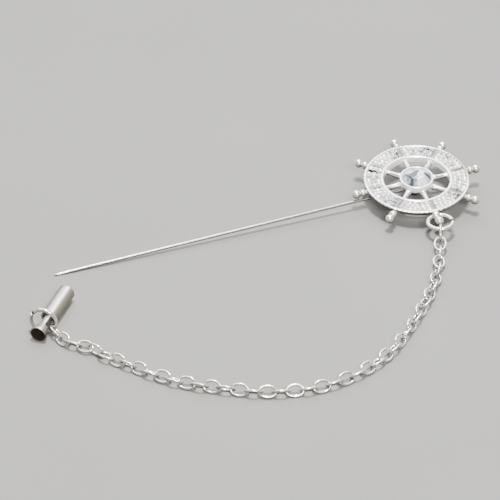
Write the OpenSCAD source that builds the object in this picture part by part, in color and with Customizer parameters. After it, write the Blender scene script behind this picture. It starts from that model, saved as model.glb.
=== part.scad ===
/* [Wheel] */
// Outer diameter of the rim
rim_d = 24.1; // [23.7:0.1:24.5]
// Width of the rim between its inner and outer edges
rim_width = 4.55; // [4.4:0.05:4.7]
// Height of the rim's borders above the plane of the spokes
rim_top = 1.05; // [0.95:0.05:1.2]
// Depth of the rim's flat back below the plane of the spokes
rim_back = 0.55; // [0.5:0.05:0.65]
// Width of each raised border of the rim
border_w = 0.7; // [0.6:0.05:0.75]
// Depth of the channel between the borders
channel_depth = 0.5; // [0.4:0.05:0.6]
// Width of the bare groove at each spoke, between two fields of stones
groove_w = 0.9; // [0.8:0.1:1.2]
// Number of spokes and handles
spoke_count = 8; // [8:2:8]
// Diameter of a spoke
spoke_d = 1; // [0.9:0.05:1.05]
// Diameter of the bead on each spoke beside the hub
spoke_bead_d = 1.5; // [1.3:0.05:1.6]
// Radius of the circle on which the handles' balls lie
ball_circle_r = 14.4; // [14.2:0.1:14.8]
// Diameter of a handle's ball
ball_d = 2; // [1.8:0.1:2.1]
// Diameter of a handle's bulge
bulge_d = 1.8; // [1.6:0.1:1.9]
// Turn of the handles about the hub, in degrees
wheel_phase = -2.2; // [-3:0.1:1]

/* [Hub] */
// Outer diameter of the collet that holds the centre stone
collet_d = 7.7; // [7.6:0.1:8]
// Height of the collet's lip above the plane of the spokes
collet_top = 1.35; // [1.3:0.05:1.5]
// Diameter of the centre stone
stone_d = 6.7; // [6.5:0.1:6.8]
// Height of the centre stone's crown above its girdle
crown_h = 1.05; // [0.8:0.05:1.3]
// Diameter of the boss on the back of the hub
boss_d = 3.8; // [3.4:0.1:4]

/* [Rim stones] */
// Diameter of a small stone
pave_d = 0.92; // [0.8:0.02:0.92]
// Rows of small stones across the rim
pave_rows = 3; // [3:1:3]
// Small stones in the innermost row of a field, one more in each further row
pave_inner_count = 5; // [4:1:5]

/* [Needle] */
// Diameter of the needle
needle_d = 0.7; // [0.6:0.05:0.75]
// Diameter of the needle's thicker end at the wheel
needle_root_d = 0.85; // [0.8:0.05:0.9]
// Distance from the needle's tip to the middle of the hub
needle_reach = 85.7; // [80:0.1:90]
// Length of the sharpened end
needle_taper = 3.2; // [2:0.1:5]
// Rise of the needle from its tip to the wheel, in degrees
needle_pitch = 1.6; // [1.4:0.1:1.8]
// Roll of the wheel towards its near side, in degrees
wheel_roll = 3.5; // [2:0.1:4]

/* [Cap] */
// Outer diameter of the cap's barrel
cap_d = 3.75; // [3.6:0.05:3.9]
// Length of the barrel
barrel_l = 9.6; // [9.2:0.1:10]
// Diameter of the neck between barrel and knob
neck_d = 1.85; // [1.7:0.1:2]
// Length of the neck
neck_l = 3.3; // [3:0.1:3.5]
// Length of the flared knob
knob_l = 2.5; // [2.3:0.1:2.7]
// Diameter of the hole for the needle
cap_bore_d = 0.9; // [0.85:0.05:1]
// Depth of the hole for the needle
cap_bore_l = 7; // [6:0.5:8]

/* [Rings and chain] */
// Mean diameter of the ring at the wheel
wheel_ring_d = 5.5; // [5.3:0.1:5.6]
// Mean diameter of the ring at the cap
cap_ring_d = 5.6; // [5.5:0.05:5.7]
// Wire of the ring at the wheel
wheel_wire_d = 1; // [0.9:0.05:1]
// Wire of the ring at the cap
ring_wire_d = 0.8; // [0.7:0.05:0.8]
// Number of links in the chain
link_count = 44; // [44:1:44]
// Length of a link over its ends
link_l = 4.2; // [4.1:0.05:4.3]
// Width of a link
link_w = 3; // [2.9:0.05:3.1]
// Wire of a link
link_wire_d = 0.55; // [0.5:0.05:0.55]

/* [Hidden] */

silver = "gainsboro";
steel = "silver";
clear = "aliceblue";

// The whole brooch lies in a frame that starts at the needle's tip, and is then
// moved so that its origin is the middle of its own footprint
lay_mid = [45.123, -20.716];

// Wheel, in its own frame: X along the needle, Z out of its face
rim_r = rim_d / 2;
rim_in_r = rim_r - rim_width;
channel_out_r = rim_r - border_w;
channel_in_r = rim_in_r + border_w;
channel_z = rim_top - channel_depth;
edge = 0.1;
lip_z = 0.65;
lip_run = 0.85;
spoke_step = 360 / spoke_count;
panel_h = 0.25;
bite = 0.1;
spoke_bite = 0.4;
handle_root_r = rim_r - 1.05;
// Outline of a handle: radius, distance from the hub
handle_outline = [
    [0, handle_root_r],
    [0.5, handle_root_r],
    [0.52, rim_r - 0.1],
    [bulge_d * 0.45, rim_r + 0.3],
    [bulge_d / 2, rim_r + 0.7],
    [bulge_d * 0.46, rim_r + 1.05],
    [0.46, rim_r + 1.5],
    [0.42, rim_r + 1.75],
    [0.42, ball_circle_r],
    [0, ball_circle_r]
];
lug_stem_d = 0.96;
chain_spoke = 6;
lug_r = rim_r + 0.2;
lug_z = -0.2;
lug_d = 2.25;
lug_hole_d = 1.44;

// Collet and stone
collet_back = 0.9;
collet_taper = 0.9;
collet_run = 0.35;
collet_flare_z = -0.2;
lip_bevel = 0.15;
girdle_z = 1.05;
girdle_h = 0.15;
pavilion_h = 1.3;
stone_gap = 0.1;
table_share = 0.56;
crown_share = 0.86;
spoke_bead_r = collet_d / 2 + 0.5;

// Needle and the boss that takes its end
needle_drop = 1.45;
needle_root_at = 69.5;
socket_gap = 0.05;
boss_shift = 1.3;
boss_waist = 2.3;
foot_d = 2.4;
needle_end = 0.7;
needle_point_r = 0.14;
socket_end = 0.9;

// Height of the wheel, so that the needle touches the ground where its taper starts
tilt_cos = cos(needle_pitch) * cos(wheel_roll);
tilt_sin = sqrt(1 - tilt_cos * tilt_cos);
wheel_z = needle_d / 2 + (needle_reach - needle_taper) * sin(needle_pitch)
    + needle_drop * tilt_cos;
wheel_at = [needle_reach, 0, wheel_z];

// Height of the boss, so that its foot touches the ground
foot_rise = boss_shift * sin(wheel_roll) * cos(needle_pitch);
boss_h = (wheel_z + foot_rise - foot_d / 2 * tilt_sin) / tilt_cos;

// Cap, lying on the ground
cap_mouth_at = [0.415, -8.422];
cap_turn = -130.3;
cap_r = cap_d / 2;
cap_dir = [cos(cap_turn), sin(cap_turn), 0];
knob_start = barrel_l + neck_l;
knob_end = knob_start + knob_l;
knob_small_r = 1.25;
knob_r = cap_r - 0.08;
knob_band = 0.35;
knob_wall = 0.3;
knob_hollow = 0.5;
mouth_bevel = 0.25;
end_bevel = 0.12;
mouth_funnel = 0.25;
end_recess_r = 1.4;
end_recess_l = 0.6;

// Ring round the cap's neck, standing on the ground
cap_ring_r = cap_ring_d / 2;
ring_wire_r = ring_wire_d / 2;
cap_ring_along = 12.28;
cap_ring_turn = cap_turn + 5;
cap_ring_lean = -2.8;
cap_ring_z = cap_ring_r * cos(cap_ring_lean) + ring_wire_r;
cap_hook = -37;
cap_slit_at = 232;

// Ring through the lug of the lowest handle
wheel_ring_r = wheel_ring_d / 2;
wheel_ring_tilt = -6;
wheel_hook = 20;
ring_seat = 0.05;
wheel_slit_at = 75;
ring_slit = 8;

// Chain
cap_hook_gap = 0.28;
wheel_hook_gap = 0.2;
link_r = link_wire_d / 2;
link_end_r = (link_w - link_wire_d) / 2;
link_straight = (link_l - link_w) / 2;
link_half = link_end_r + link_straight;
cap_hook_reach = link_half - link_r - ring_wire_r - cap_hook_gap;
wheel_hook_reach = link_half - link_r - wheel_wire_d / 2 - wheel_hook_gap;
rest_z = link_end_r * sin(45) + link_r;
link_sides = 12;
wire_sides = 6;
// Places along the chain's middle line, from the cap towards the wheel: x, y
chain_route = [
    [-4.4, -23.3], [-0.9, -26.8], [4, -33.3], [9.2, -39.4], [15, -44.9], [21.9, -49.5], [29.7, -53.3],
    [37, -55.3], [43, -55.6], [50.5, -54.1], [58.5, -50.2], [65.3, -44.6], [71.3, -38.2]
];
// Last places, where the chain rises to the wheel: x, y, z
chain_rise = [[75.4, -33.4, 1.15], [79, -28, 1.2], [82.5, -21.1, 1.8]];
route_steps = 16;

function turn_x(v, a) = [v.x, v.y * cos(a) - v.z * sin(a), v.y * sin(a) + v.z * cos(a)];
function turn_y(v, a) = [v.x * cos(a) + v.z * sin(a), v.y, v.z * cos(a) - v.x * sin(a)];
function turn_z(v, a) = [v.x * cos(a) - v.y * sin(a), v.x * sin(a) + v.y * cos(a), v.z];
function unit(v) = v / norm(v);

// From the wheel's own frame to where it lies
function wheel_dir(v) = turn_y(turn_x(v, wheel_roll), -needle_pitch);
function wheel_point(v) = wheel_at + wheel_dir(v);

// Where the chain hooks into each ring
cap_ring_mid = [cap_mouth_at.x, cap_mouth_at.y, 0] + cap_dir * cap_ring_along + [0, 0, cap_ring_z];
cap_ring_side = turn_z([cos(cap_ring_turn), sin(cap_ring_turn), 0], 90);
cap_ring_up = turn_z([sin(cap_ring_lean), 0, cos(cap_ring_lean)], cap_ring_turn);
cap_hook_at = cap_ring_mid + cap_ring_r * (cap_ring_side * cos(cap_hook) + cap_ring_up * sin(cap_hook));
chain_spoke_angle = wheel_phase + chain_spoke * spoke_step;
wheel_hook_local = [
    wheel_ring_r - ring_seat + wheel_ring_r * cos(wheel_hook),
    -wheel_ring_r * sin(wheel_hook),
    0
];
wheel_hook_at = wheel_point(turn_z([lug_r, 0, lug_z] + turn_y(wheel_hook_local, wheel_ring_tilt),
    chain_spoke_angle));

// Middle line of the chain, as a smooth curve through its places
route_flat = [for (p = chain_route) [p.x, p.y, rest_z]];
cap_first = cap_hook_at + unit([0.333, -0.894, -0.298]) * cap_hook_reach;
wheel_last = wheel_hook_at + unit(chain_rise[2] - wheel_hook_at) * wheel_hook_reach;
route = concat([cap_first], route_flat, chain_rise, [wheel_last]);
route_n = len(route);
function route_at(i) = route[max(0, min(route_n - 1, i))];
function curve(i, u) = 0.5 * (2 * route_at(i) + u * (route_at(i + 1) - route_at(i - 1))
    + u * u * (2 * route_at(i - 1) - 5 * route_at(i) + 4 * route_at(i + 1) - route_at(i + 2))
    + u * u * u * (3 * route_at(i) - route_at(i - 1) - 3 * route_at(i + 1) + route_at(i + 2)));
line = concat(
    [for (i = [0:route_n - 2]) for (j = [0:route_steps - 1]) curve(i, j / route_steps)],
    [wheel_last]
);
line_n = len(line);
run = [for (i = 0, s = 0; i < line_n; s = s + norm(line[min(i + 1, line_n - 1)] - line[i]), i = i + 1) s];
table_x = [for (i = [0:line_n - 1]) [run[i], line[i].x]];
table_y = [for (i = [0:line_n - 1]) [run[i], line[i].y]];
table_z = [for (i = [0:line_n - 1]) [run[i], line[i].z]];
function line_at(s) = [lookup(s, table_x), lookup(s, table_y), lookup(s, table_z)];
run_end = run[line_n - 1];

// Place of link k along the line: the links beside the cap lie slack
slack_to = 14;
slack_pitch = 2.74;
pitch = (run_end - slack_to * slack_pitch) / (link_count - 1 - slack_to);
function place(k) = k <= slack_to ? k * slack_pitch : slack_to * slack_pitch + (k - slack_to) * pitch;

// Roll of link k about the chain's own line: neighbours stand about square to each other
twist_from = 2;
twist_to = 6;
twist_step = 67.5;
ease_from = 36;
ease_step = 82.5;
function roll(k) = k == 0 ? -48
    : k <= twist_from ? -45 + 90 * k
    : k <= twist_to ? 135 + twist_step * (k - twist_from)
    : k <= ease_from ? 45 + 90 * (k - twist_to)
    : k < link_count - 1 ? 225 + ease_step * (k - ease_from)
    : 90;
dir_reach = 1.2;
function link_dir(k) =
    let (ahead = min(place(k) + dir_reach, run_end), behind = max(place(k) - dir_reach, 0))
    unit(line_at(ahead) - line_at(behind));
function link_floor(k) =
    let (rise = abs(link_dir(k).z), stand = max(sin(45), abs(sin(roll(k)))))
    link_r + link_straight * rise + link_end_r * sqrt(rise * rise + stand * stand * (1 - rise * rise));
function link_mid(k) =
    let (spot = line_at(place(k)))
    [spot.x, spot.y, max(spot.z, link_floor(k))];

// Points of one link: rings of the wire's outline, all round the link
function link_points(k) =
    let (
        mid = link_mid(k),
        along = link_dir(k),
        left = unit(cross([0, 0, 1], along)),
        up = cross(along, left),
        face = up * cos(roll(k)) - left * sin(roll(k)),
        across = cross(face, along)
    )
    [for (j = [0:link_sides - 1]) for (i = [0:wire_sides - 1])
        let (
            a = (j + 0.5) * 360 / link_sides,
            b = i * 360 / wire_sides,
            reach = link_end_r + link_r * cos(b)
        )
        mid + along * (reach * cos(a) + sign(cos(a)) * link_straight)
            + across * (reach * sin(a)) + face * (link_r * sin(b))
    ];
link_size = link_sides * wire_sides;
function link_faces(k) = [for (j = [0:link_sides - 1]) for (i = [0:wire_sides - 1])
    [for (c = [[0, 0], [0, 1], [1, 1], [1, 0]])
        k * link_size + ((j + c[0]) % link_sides) * wire_sides + (i + c[1]) % wire_sides]];

// Small stones: low eight-sided cuts with a table, rows round each field
pave_table = 0.56;
pave_h = 0.3;
pave_lift = 0.04;
row_pitch = (channel_out_r - channel_in_r - pave_d) / (pave_rows - 1) - 0.01;
row_mid_r = (channel_out_r + channel_in_r) / 2;
function row_r(row) = row_mid_r + (row - (pave_rows - 1) / 2) * row_pitch;
function row_count(row) = pave_inner_count + row;
function field_span(r) = spoke_step - 2 * asin((groove_w + pave_d + bite) / 2 / r);
pave_seats = [for (s = [0:spoke_count - 1]) for (row = [0:pave_rows - 1]) for (i = [0:row_count(row) - 1])
    [
        row_r(row),
        wheel_phase + spoke_step * (s + 0.5) + field_span(row_r(row)) * (i / (row_count(row) - 1) - 0.5)
    ]];
cut_sides = 8;
pave_size = 2 * cut_sides;
function cut_ring(r, z) = [for (i = [0:cut_sides - 1])
    let (a = (i + 0.5) * 360 / cut_sides) [r * cos(a), r * sin(a), z]];
function pave_points(seat) = [for (p = concat(
        cut_ring(pave_d / 2, channel_z + panel_h + pave_lift),
        cut_ring(pave_d / 2 * pave_table, channel_z + panel_h + pave_lift + pave_h)))
    turn_z(p + [seat[0], 0, 0], seat[1])];
function pave_faces(k) = concat(
    [[for (i = [0:cut_sides - 1]) k * pave_size + i]],
    [[for (i = [cut_sides - 1:-1:0]) k * pave_size + cut_sides + i]],
    [for (i = [0:cut_sides - 1]) [
        k * pave_size + i,
        k * pave_size + cut_sides + i,
        k * pave_size + cut_sides + (i + 1) % cut_sides,
        k * pave_size + (i + 1) % cut_sides
    ]]);

module laid() {
    translate([-lay_mid.x, -lay_mid.y, 0]) children();
}

module at_wheel() {
    laid() translate(wheel_at) rotate([wheel_roll, -needle_pitch, 0]) children();
}

module at_cap() {
    laid() translate([cap_mouth_at.x, cap_mouth_at.y, cap_r]) rotate([0, 90, cap_turn]) children();
}

// Lays a turned shape along a spoke
module on_spoke(k) {
    rotate([0, 0, wheel_phase + k * spoke_step]) rotate([0, 90, 0]) children();
}

module rim() {
    rotate_extrude($fn = 96) polygon([
        [rim_in_r, -rim_back],
        [rim_r - lip_run, -rim_back],
        [rim_r, lip_z],
        [rim_r, rim_top - edge],
        [rim_r - edge, rim_top],
        [channel_out_r + edge, rim_top],
        [channel_out_r, rim_top - edge],
        [channel_out_r, channel_z],
        [channel_in_r, channel_z],
        [channel_in_r, rim_top - edge],
        [channel_in_r - edge, rim_top],
        [rim_in_r + edge, rim_top],
        [rim_in_r, rim_top - edge]
    ]);
}

// Raised bed under one field of small stones
module bed(k) {
    half = asin(groove_w / 2 / row_mid_r);
    rotate([0, 0, wheel_phase + k * spoke_step + half])
        rotate_extrude(angle = spoke_step - 2 * half, $fn = 96)
            translate([channel_in_r - bite, channel_z - bite])
                square([channel_out_r - channel_in_r + 2 * bite, panel_h + bite]);
}

module handle() {
    rotate_extrude($fn = 32) polygon(handle_outline);
    translate([0, 0, ball_circle_r]) sphere(d = ball_d, $fn = 32);
}

// The handle that carries the chain: a pierced lug close to the rim, then the ball
module lug_handle() {
    difference() {
        union() {
            translate([-lug_z, 0, lug_r]) sphere(d = lug_d, $fn = 32);
            translate([0, 0, handle_root_r])
                cylinder(d = lug_stem_d, h = ball_circle_r - handle_root_r, $fn = 32);
            translate([0, 0, ball_circle_r]) sphere(d = ball_d, $fn = 32);
        }
        translate([-lug_z, 0, lug_r]) rotate([90, 0, 0])
            cylinder(d = lug_hole_d, h = 2 * lug_d, center = true, $fn = 32);
    }
}

module spoke() {
    inner = collet_d / 2 - spoke_bite;
    translate([0, 0, inner]) cylinder(d = spoke_d, h = rim_in_r + spoke_bite - inner, $fn = 32);
    translate([0, 0, spoke_bead_r]) sphere(d = spoke_bead_d, $fn = 32);
}

module collet() {
    wall_r = collet_d / 2;
    seat_r = stone_d / 2 + stone_gap;
    seat_top = girdle_z - stone_gap;
    rotate_extrude($fn = 64) polygon([
        [0, -collet_back],
        [wall_r - collet_taper, -collet_back],
        [wall_r - collet_run, collet_flare_z],
        [wall_r, collet_top - lip_bevel],
        [wall_r - lip_bevel, collet_top],
        [seat_r, collet_top],
        [seat_r, seat_top],
        [stone_gap, seat_top - stone_gap - pavilion_h],
        [0, seat_top - stone_gap - pavilion_h]
    ]);
}

// Boss on the hub's back, with the needle's socket and a foot on the ground
module boss() {
    difference() {
        translate([0, boss_shift, 0]) rotate_extrude($fn = 48) polygon([
            [0, -collet_back + bite],
            [boss_d / 2, -collet_back + bite],
            [boss_d / 2, -boss_waist],
            [foot_d / 2, -boss_waist - 0.6],
            [foot_d / 2, -boss_h],
            [0, -boss_h]
        ]);
        translate([-boss_d, 0, -needle_drop]) rotate([0, 90, 0])
            cylinder(d = needle_root_d + 2 * socket_gap, h = boss_d + socket_end, $fn = 32);
    }
}

module wheel() {
    color(silver) at_wheel() {
        rim();
        collet();
        boss();
        for (k = [0:spoke_count - 1]) {
            bed(k);
            on_spoke(k) spoke();
            if (k != chain_spoke) on_spoke(k) handle();
        }
        on_spoke(chain_spoke) lug_handle();
    }
}

// A round brilliant with a table, eight main facets and a shallow back
module centre_stone() {
    r = stone_d / 2;
    thin = 0.01;
    culet_r = 0.2;
    color(clear) at_wheel() hull() {
        translate([0, 0, girdle_z + girdle_h + crown_h - thin])
            cylinder(r = r * table_share, h = thin, $fn = 8);
        translate([0, 0, girdle_z + girdle_h + crown_h * 0.5]) rotate([0, 0, 22.5])
            cylinder(r = r * crown_share, h = thin, $fn = 8);
        translate([0, 0, girdle_z]) cylinder(r = r, h = girdle_h, $fn = 16);
        translate([0, 0, girdle_z - pavilion_h]) cylinder(r = culet_r, h = thin, $fn = 8);
    }
}

module rim_stones() {
    color(clear) at_wheel() polyhedron(
        points = [for (seat = pave_seats) each pave_points(seat)],
        faces = [for (k = [0:len(pave_seats) - 1]) each pave_faces(k)],
        convexity = 4
    );
}

module needle() {
    color(steel) at_wheel() translate([-needle_reach, 0, -needle_drop]) rotate([0, 90, 0]) {
        cylinder(r1 = needle_point_r, r2 = needle_d / 2, h = needle_taper, $fn = 32);
        translate([0, 0, needle_taper]) cylinder(d = needle_d, h = needle_root_at - needle_taper, $fn = 32);
        translate([0, 0, needle_root_at])
            cylinder(d1 = needle_d, d2 = needle_root_d, h = needle_reach + needle_end - needle_root_at, $fn = 32);
    }
}

module split_ring(r, wire_d, slit_at) {
    rotate([0, 0, slit_at + ring_slit / 2]) rotate_extrude(angle = 360 - ring_slit, $fn = 64)
        translate([r, 0]) circle(d = wire_d, $fn = 24);
}

module wheel_ring() {
    color(steel) at_wheel() rotate([0, 0, chain_spoke_angle]) translate([lug_r, 0, lug_z])
        rotate([0, wheel_ring_tilt, 0]) translate([wheel_ring_r - ring_seat, 0, 0])
        split_ring(wheel_ring_r, wheel_wire_d, wheel_slit_at);
}

module chain() {
    color(steel) laid() polyhedron(
        points = [for (k = [0:link_count - 1]) each link_points(k)],
        faces = [for (k = [0:link_count - 1]) each link_faces(k)],
        convexity = 10
    );
}

module cap_ring() {
    color(steel) laid() translate(cap_ring_mid) rotate([0, 0, cap_ring_turn])
        rotate([0, 90 + cap_ring_lean, 0]) split_ring(cap_ring_r, ring_wire_d, cap_slit_at);
}

// Barrel with the needle's hole, thin neck and flared knob, turned as one
module cap() {
    color(steel) at_cap() rotate_extrude($fn = 64) polygon([
        [cap_bore_d / 2 + mouth_funnel, 0],
        [cap_r - mouth_bevel, 0],
        [cap_r, mouth_bevel],
        [cap_r, barrel_l - end_bevel],
        [cap_r - end_bevel, barrel_l],
        [end_recess_r, barrel_l],
        [end_recess_r, barrel_l - end_recess_l],
        [neck_d / 2, barrel_l - end_recess_l],
        [neck_d / 2, knob_start],
        [knob_small_r, knob_start],
        [knob_small_r + end_bevel, knob_start + end_bevel],
        [knob_r, knob_end - knob_band],
        [knob_r, knob_end - end_bevel],
        [knob_r - end_bevel, knob_end],
        [knob_r - knob_wall, knob_end],
        [0, knob_end - knob_hollow],
        [0, cap_bore_l],
        [cap_bore_d / 2, cap_bore_l],
        [cap_bore_d / 2, mouth_funnel]
    ]);
}

wheel();
centre_stone();
rim_stones();
needle();
wheel_ring();
chain();
cap_ring();
cap();
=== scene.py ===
import math
import bpy
from mathutils import Matrix, Vector


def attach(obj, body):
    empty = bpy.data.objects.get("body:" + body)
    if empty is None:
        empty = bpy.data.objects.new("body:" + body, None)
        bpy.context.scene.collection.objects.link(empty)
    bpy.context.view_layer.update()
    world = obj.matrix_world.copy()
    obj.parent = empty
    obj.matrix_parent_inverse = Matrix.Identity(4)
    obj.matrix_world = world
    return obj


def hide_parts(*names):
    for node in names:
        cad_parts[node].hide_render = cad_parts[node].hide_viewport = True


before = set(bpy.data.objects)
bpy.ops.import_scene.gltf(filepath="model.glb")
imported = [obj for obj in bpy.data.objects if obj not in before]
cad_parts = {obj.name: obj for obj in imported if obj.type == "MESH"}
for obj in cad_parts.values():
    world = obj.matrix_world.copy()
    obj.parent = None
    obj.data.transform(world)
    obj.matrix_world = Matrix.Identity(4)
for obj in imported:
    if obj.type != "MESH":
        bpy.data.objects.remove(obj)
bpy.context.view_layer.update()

print("frame loaded")

mm = 0.001  # a millimetre, in metres
weld = 0.0005  # points closer than this, in mm, are made one


# Shapes are drawn in millimetres, and each finished one is then settled in metres.

def turn(degrees, axis):
    return Matrix.Rotation(math.radians(degrees), 4, axis)


def shift(x, y, z):
    return Matrix.Translation((x, y, z))


def sind(a):
    return math.sin(math.radians(a))


def cosd(a):
    return math.cos(math.radians(a))


def arc(cx, cy, r, start, end, count):  # rounding of an outline
    gap = (end - start) / (count - 1)
    return [(cx + r * cosd(start + gap * i), cy + r * sind(start + gap * i)) for i in range(count)]


def raised(points, height):
    return [(r, height + z) for r, z in points]


def nothingSelected():
    bpy.ops.object.select_all(action="DESELECT")


def only(obj):
    nothingSelected()
    obj.select_set(True)
    bpy.context.view_layer.objects.active = obj


def editAll(obj):
    only(obj)
    bpy.ops.object.mode_set(mode="EDIT")
    bpy.ops.mesh.select_mode(type="VERT")
    bpy.ops.mesh.select_all(action="SELECT")


def endEdit():
    bpy.ops.object.mode_set(mode="OBJECT")


def pickVerts(obj, test):  # picks points by their place, then opens edit mode on them
    only(obj)
    mesh = obj.data
    for part in (mesh.polygons, mesh.edges):
        part.foreach_set("select", [False] * len(part))
    mesh.vertices.foreach_set("select", [bool(test(v.co)) for v in mesh.vertices])
    bpy.ops.object.mode_set(mode="EDIT")
    bpy.ops.mesh.select_mode(type="VERT")
    bpy.ops.object.mode_set(mode="OBJECT")
    bpy.ops.object.mode_set(mode="EDIT")


def named(name):
    obj = bpy.context.object
    obj.name = name
    obj.data.name = name
    return obj


def tidy(obj, smooth=35):  # welds, turns faces outwards and shades
    editAll(obj)
    bpy.ops.mesh.remove_doubles(threshold=weld)
    bpy.ops.mesh.normals_make_consistent(inside=False)
    endEdit()
    only(obj)
    if smooth:
        bpy.ops.object.shade_smooth_by_angle(angle=math.radians(smooth))
    else:
        bpy.ops.object.shade_flat()
    return obj


# The outline's points are radius and height, and it is spun about Z.
def lathe(name, outline, steps, angle=360, closed=False):
    bpy.ops.mesh.primitive_plane_add(size=0.1)
    obj = named(name)
    editAll(obj)
    bpy.ops.mesh.merge(type="CENTER")
    bpy.ops.transform.translate(value=(outline[0][0], 0, outline[0][1]))
    points = outline[1:] + ([outline[0]] if closed else [])
    last = outline[0]
    for point in points:
        bpy.ops.mesh.extrude_region_move(
            TRANSFORM_OT_translate={"value": (point[0] - last[0], 0, point[1] - last[1])})
        last = point
    bpy.ops.mesh.select_all(action="SELECT")
    bpy.ops.mesh.remove_doubles(threshold=weld)
    bpy.ops.mesh.select_all(action="SELECT")
    bpy.ops.mesh.spin(steps=steps, angle=math.radians(angle), center=(0, 0, 0), axis=(0, 0, 1))
    endEdit()
    return tidy(obj)


def bevelled(obj, width, segments, limit=30):
    bevel = obj.modifiers.new("bevel", "BEVEL")
    bevel.width = width
    bevel.segments = segments
    bevel.limit_method = "ANGLE"
    bevel.angle_limit = math.radians(limit)
    only(obj)
    bpy.ops.object.modifier_apply(modifier="bevel")


def copyAt(obj, matrix, name):
    new = obj.copy()
    new.data = obj.data.copy()
    new.name = name
    bpy.context.collection.objects.link(new)
    new.data.transform(matrix)
    return new


def joined(objs, name):
    nothingSelected()
    for obj in objs:
        obj.select_set(True)
    bpy.context.view_layer.objects.active = objs[0]
    if len(objs) > 1:
        bpy.ops.object.join()
    return named(name)


def dropped(obj):
    bpy.data.objects.remove(obj, do_unlink=True)


def settled(obj, matrix):  # puts a finished shape where it lies, in metres
    only(obj)
    obj.matrix_world = matrix
    bpy.ops.object.transform_apply(location=True, rotation=True, scale=True)
    return obj


def markFacing(obj):  # keeps how far each point faces up, for the painted shade below
    mesh = obj.data
    level = mesh.attributes.new("facing", "FLOAT", "POINT")
    level.data.foreach_set("value", [0.5 + 0.5 * v.normal.z for v in mesh.vertices])


def finished(obj, material, slotName, *nodes):  # the nodes are the CAD ones that it takes over from
    markFacing(obj)
    obj.data.materials.clear()
    obj.data.materials.append(material)
    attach(obj, "root")
    if nodes:
        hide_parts(*nodes)


# How the brooch lies, with the numbers of the part's source.
lie = {
    "mid": (45.123, -20.716),      # middle of the footprint in the source's own layout
    "reach": 85.7,                 # needle's tip to the hub
    "taper": 3.2,                  # length of the needle's ground end
    "needleDrop": 1.45,            # needle below the plane of the spokes
    "needleWidth": 0.7,
    "pitch": 1.6,                  # rise of the needle, degrees
    "roll": 3.5,                   # roll of the wheel
    "phase": -2.2,                 # turn of the handles
    "capMouth": (0.415, -8.422),   # the cap's open end, in the source's layout
    "capTurn": -130.3,             # way that the cap points
    "capWidth": 3.75,
}
tiltCos = cosd(lie["pitch"]) * cosd(lie["roll"])
wheelZ = (lie["needleWidth"] / 2 + (lie["reach"] - lie["taper"]) * sind(lie["pitch"])
          + lie["needleDrop"] * tiltCos)
laid = Matrix.Scale(mm, 4) @ shift(-lie["mid"][0], -lie["mid"][1], 0)
wheelAt = shift(lie["reach"], 0, wheelZ) @ turn(-lie["pitch"], "Y") @ turn(lie["roll"], "X")
onWheel = laid @ wheelAt
onCap = (laid @ shift(lie["capMouth"][0], lie["capMouth"][1], lie["capWidth"] / 2)
         @ turn(lie["capTurn"], "Z") @ turn(90, "Y"))


def onSpoke(k):
    return turn(lie["phase"] + 45 * k, "Z") @ turn(90, "Y")


# Camera at the photograph's angle.
shot = {"side": 20.105, "elevation": 37.64, "distance": 575.3, "target": (43.415, -5.882), "lens": 187.2}
ahead = Vector((sind(shot["side"]), cosd(shot["side"]), 0))
beside = Vector((cosd(shot["side"]), -sind(shot["side"]), 0))
aim = Vector((shot["target"][0] - lie["mid"][0], shot["target"][1] - lie["mid"][1], 0))
eye = (aim - ahead * shot["distance"] * cosd(shot["elevation"])
       + Vector((0, 0, shot["distance"] * sind(shot["elevation"]))))
cameraData = bpy.data.cameras.new("photoCamera")
cameraData.lens = shot["lens"]
cameraData.sensor_width = 36
cameraData.clip_start = 0.01
cameraData.clip_end = 50
camera = bpy.data.objects.new("photoCamera", cameraData)
bpy.context.collection.objects.link(camera)
camera.location = eye * mm
camera.rotation_euler = (aim - eye).to_track_quat("-Z", "Y").to_euler()
bpy.context.scene.camera = camera
print("camera set")


class Signal:  # a socket that can be added, multiplied and so on
    tree = None

    def __init__(self, socket):
        self.socket = socket

    @classmethod
    def make(cls, kind, settings, inputs, out=0):
        node = cls.tree.nodes.new(kind)
        for key, value in settings.items():
            if key == "stops":
                stops = node.color_ramp.elements
                while len(stops) < len(value):
                    stops.new(0.5)
                for stop, (place, colour) in zip(stops, value):
                    stop.position = place
                    stop.color = (*colour, 1)
            else:
                setattr(node, key, value)
        for key, value in inputs.items():
            if isinstance(value, Signal):
                cls.tree.links.new(value.socket, node.inputs[key])
            else:
                node.inputs[key].default_value = value
        return cls(node.outputs[out]) if node.outputs else None

    def math(self, operation, *others):
        return Signal.make("ShaderNodeMath", {"operation": operation}, dict(enumerate((self, *others))))

    def swapped(self, operation, other):
        return Signal.make("ShaderNodeMath", {"operation": operation}, {0: other, 1: self})

    def __add__(self, other): return self.math("ADD", other)
    def __radd__(self, other): return self.math("ADD", other)
    def __sub__(self, other): return self.math("SUBTRACT", other)
    def __rsub__(self, other): return self.swapped("SUBTRACT", other)
    def __mul__(self, other): return self.math("MULTIPLY", other)
    def __rmul__(self, other): return self.math("MULTIPLY", other)
    def __truediv__(self, other): return self.math("DIVIDE", other)
    def __rtruediv__(self, other): return self.swapped("DIVIDE", other)
    def __pow__(self, other): return self.math("POWER", other)
    def __gt__(self, other): return self.math("GREATER_THAN", other)
    def __lt__(self, other): return self.math("LESS_THAN", other)


def startMaterial(name, view):
    material = bpy.data.materials.new(name)
    material.use_nodes = True
    Signal.tree = material.node_tree
    Signal.tree.nodes.clear()
    material.diffuse_color = (*view, 1)
    return material


def endMaterial(material, settings):
    surface = Signal.make("ShaderNodeBsdfPrincipled", {}, settings)
    Signal.make("ShaderNodeOutputMaterial", {}, {"Surface": surface})
    return material


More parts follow.
